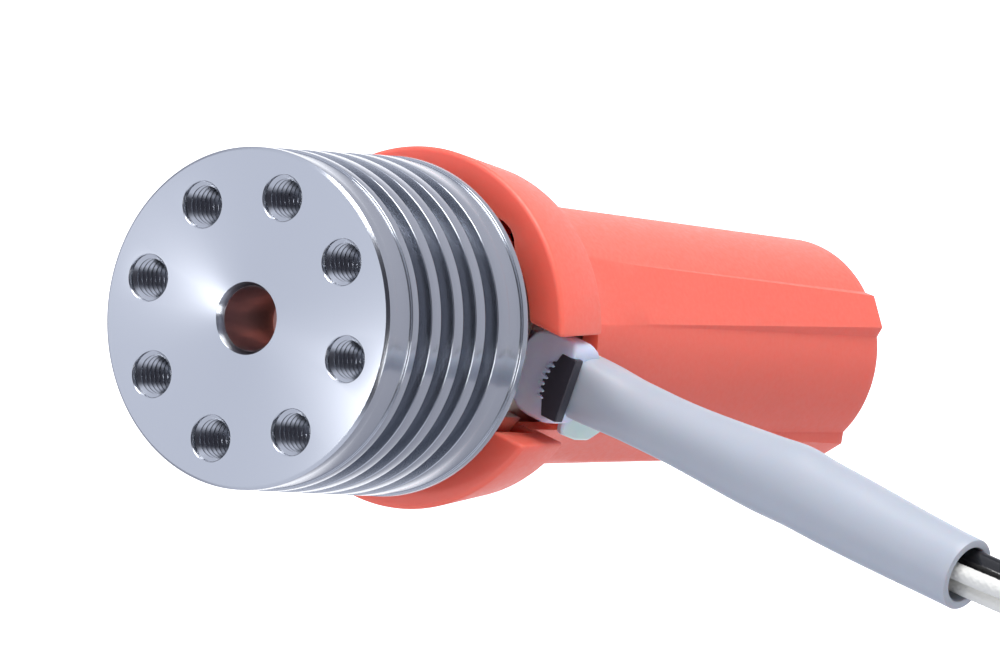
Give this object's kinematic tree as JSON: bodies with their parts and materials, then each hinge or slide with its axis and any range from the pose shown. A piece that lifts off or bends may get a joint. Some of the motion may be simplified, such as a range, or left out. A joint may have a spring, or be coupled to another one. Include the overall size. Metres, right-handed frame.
{
  "type": "hotend assembly",
  "caption": "Compact 3-D printer hotend with a round finned heatsink, silicone boot, ceramic heater, removable nozzle and sleeved pigtail leads.",
  "frame": {"origin": "centre of the heatsink's flat mounting face, on the filament axis", "axes": "+Z out of the mounting face, away from the nozzle; +X along the sleeved leads where they leave the hot end"},
  "size_m": [0.0736, 0.0236, 0.141],
  "materials": {
    "turned_aluminium": "fine turned, clear anodised",
    "copper": "machined copper",
    "stainless_steel": "turned stainless steel",
    "plated_copper": "nickel-plated copper alloy",
    "black_steel": "black oxide steel",
    "white_ceramic": "fired alumina ceramic",
    "potting_silicone": "milky translucent silicone",
    "black_clip": "blackened spring steel",
    "nozzle_brass": "machined brass",
    "orange_silicone": "moulded satin silicone",
    "grey_sleeve": "smooth silicone sleeving",
    "tinned_copper": "tinned copper",
    "white_braid": "braided fibreglass",
    "black_jacket": "glossy black jacket",
    "black_nylon": "moulded nylon",
    "white_nylon": "moulded nylon"
  },
  "bodies": {
    "frame": {"heatsink": "turned_aluminium", "heat_break_sleeve": "copper", "heat_break_tube": "stainless_steel", "melt_core": "plated_copper", "standoff_spacers": "stainless_steel", "standoff_screws": "black_steel", "heater_tube": "white_ceramic", "heater_washer": "stainless_steel", "heater_nut": "plated_copper", "lead_out_block": "potting_silicone", "lead_clip": "black_clip", "thermistor_cartridge": "stainless_steel", "thermistor_grub_screw": "black_steel", "lead_sleeve": "grey_sleeve", "crimp_ferrules": "tinned_copper", "heater_tails": "white_braid", "thermistor_tail": "black_jacket", "thermistor_lead": "black_jacket", "heater_lead_a": "white_braid", "heater_lead_b": "white_braid", "heater_plug_housing": "black_nylon", "heater_plug_contacts": "tinned_copper", "thermistor_plug_housing": "white_nylon", "thermistor_plug_contacts": "tinned_copper"},
    "boot": {"silicone_boot": "orange_silicone"},
    "tip": {"nozzle_tip": "stainless_steel"},
    "nozzle": {"nozzle": "nozzle_brass"}
  },
  "joints": [
    {"name": "boot_pull_off", "type": "slide", "parent": "frame", "child": "boot", "axis": [0, 0, -1], "range_m": [0, 0.048]},
    {"name": "nozzle_draw_out", "type": "slide", "parent": "frame", "child": "tip", "axis": [0, 0, -1], "range_m": [0, 0.0075]},
    {"name": "nozzle_unscrew", "type": "hinge", "parent": "tip", "child": "nozzle", "pos_m": [0, 0, -0.0584], "axis": [0, 0, -1], "range_deg": [0, 2702]}
  ],
  "couplings": [
    {"joint": "nozzle_unscrew", "follows": "nozzle_draw_out", "rad_per_m": 6283.2}
  ]
}
